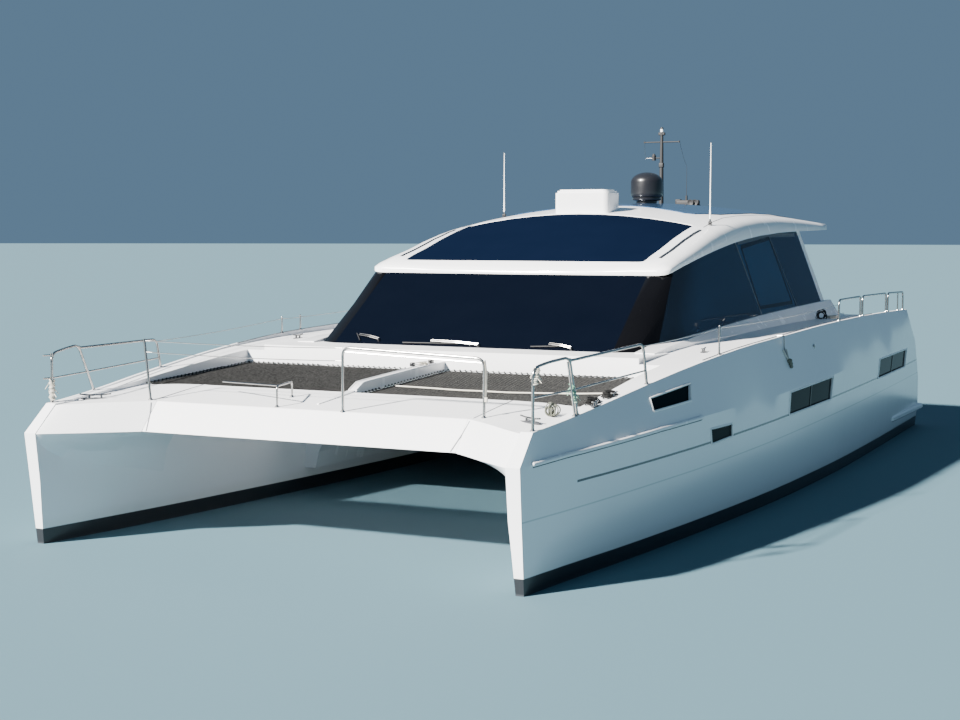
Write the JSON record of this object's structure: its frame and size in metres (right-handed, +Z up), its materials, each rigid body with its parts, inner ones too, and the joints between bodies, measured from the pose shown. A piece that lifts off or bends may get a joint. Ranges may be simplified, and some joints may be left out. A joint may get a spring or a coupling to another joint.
{
  "type": "power catamaran",
  "caption": "Motor yacht with slender twin hulls, raked glass saloon on a bridge deck, bow nets, stern steps, turning propellers and rudders.",
  "frame": {"origin": "on the waterline plane, on the centreplane, midway along the waterline", "axes": "+X towards the bows, +Y to port, +Z up"},
  "size_m": [20.23, 9.2668, 7.8904],
  "materials": {
    "gelcoat": "polished white gelcoat over glass-fibre, black below the boot top",
    "dark_glass": "near-black tinted screen glass",
    "side_glass": "dark blue tinted side glass",
    "solar_glass": "dark blue panel under glass",
    "black_plastic": "black satin plastic and paint",
    "stainless": "polished stainless tube",
    "bronze": "propeller bronze, dull from the water",
    "antifouling": "matt black antifouling",
    "net": "knotted dark grey rope netting",
    "upholstery": "soft grey seat covers",
    "joinery": "satin varnished joinery"
  },
  "bodies": {
    "boat": {"hull_port": "gelcoat", "hull_starboard": "gelcoat", "bridge_deck": "gelcoat", "bow_beam": "gelcoat", "net_spine": "gelcoat", "net_port": "net", "net_starboard": "net", "roof": "gelcoat", "upper_screen": "dark_glass", "roof_panel": "solar_glass", "coaming_port": "gelcoat", "coaming_starboard": "gelcoat", "windscreen": "dark_glass", "corner_glass_port": "dark_glass", "corner_glass_starboard": "dark_glass", "side_glass_fore_port": "side_glass", "side_glass_fore_starboard": "side_glass", "side_glass_mid_port": "side_glass", "side_glass_mid_starboard": "side_glass", "side_glass_aft_port": "side_glass", "side_glass_aft_starboard": "side_glass", "aft_pillar_port": "gelcoat", "aft_pillar_starboard": "gelcoat", "aft_bulkhead": "gelcoat", "aft_window_port": "side_glass", "aft_window_starboard": "side_glass", "door_track": "gelcoat", "helm_console": "gelcoat", "helm_seat": "upholstery", "saloon_sofa": "upholstery", "saloon_table": "joinery", "galley": "joinery", "cockpit_bench": "upholstery", "roof_box": "gelcoat", "satellite_dome": "black_plastic", "nav_mast": "black_plastic", "whip_antenna_port": "gelcoat", "whip_antenna_starboard": "gelcoat", "pulpit_port": "stainless", "pulpit_starboard": "stainless", "bow_gate_rail": "stainless", "gate_post": "stainless", "low_rail": "stainless", "roof_horns": "black_plastic", "aft_rail_port": "stainless", "aft_rail_starboard": "stainless", "stanchion_port": "stainless", "stanchion_starboard_fore": "stainless", "stanchion_starboard_aft": "stainless", "shaft_strut_port": "bronze", "shaft_strut_starboard": "bronze"},
    "sliding_door": {"sliding_door": "side_glass"},
    "helm_wheel": {"helm_wheel": "black_plastic"},
    "propeller_port": {"propeller_port": "bronze", "propeller_shaft_port": "stainless"},
    "propeller_starboard": {"propeller_starboard": "bronze", "propeller_shaft_starboard": "stainless"},
    "rudder_port": {"rudder_port": "antifouling"},
    "rudder_starboard": {"rudder_starboard": "antifouling"}
  },
  "joints": [
    {"name": "propeller_port_spin", "type": "hinge", "parent": "boat", "child": "propeller_port", "pos_m": [-8.02, 3.635, -1.05], "axis": [-0.9912, 0, -0.1324], "continuous": true},
    {"name": "propeller_starboard_spin", "type": "hinge", "parent": "boat", "child": "propeller_starboard", "pos_m": [-8.02, -3.635, -1.05], "axis": [-0.9912, 0, -0.1324], "continuous": true},
    {"name": "rudder_port_turn", "type": "hinge", "parent": "boat", "child": "rudder_port", "pos_m": [-9.05, 3.635, -1], "axis": [0, 0, 1], "range_deg": [-35, 35]},
    {"name": "rudder_starboard_turn", "type": "hinge", "parent": "boat", "child": "rudder_starboard", "pos_m": [-9.05, -3.635, -1], "axis": [0, 0, 1], "range_deg": [-35, 35]},
    {"name": "helm_wheel_turn", "type": "hinge", "parent": "boat", "child": "helm_wheel", "pos_m": [2.36, 1.1, 2.76], "axis": [-0.9004, 0, 0.435], "range_deg": [-450, 450]},
    {"name": "door_slide", "type": "slide", "parent": "boat", "child": "sliding_door", "axis": [0, 1, 0], "range_m": [0, 1.6]}
  ],
  "couplings": [
    {"joint": "rudder_starboard_turn", "follows": "rudder_port_turn", "ratio": 1},
    {"joint": "helm_wheel_turn", "follows": "rudder_port_turn", "ratio": -12.857}
  ]
}
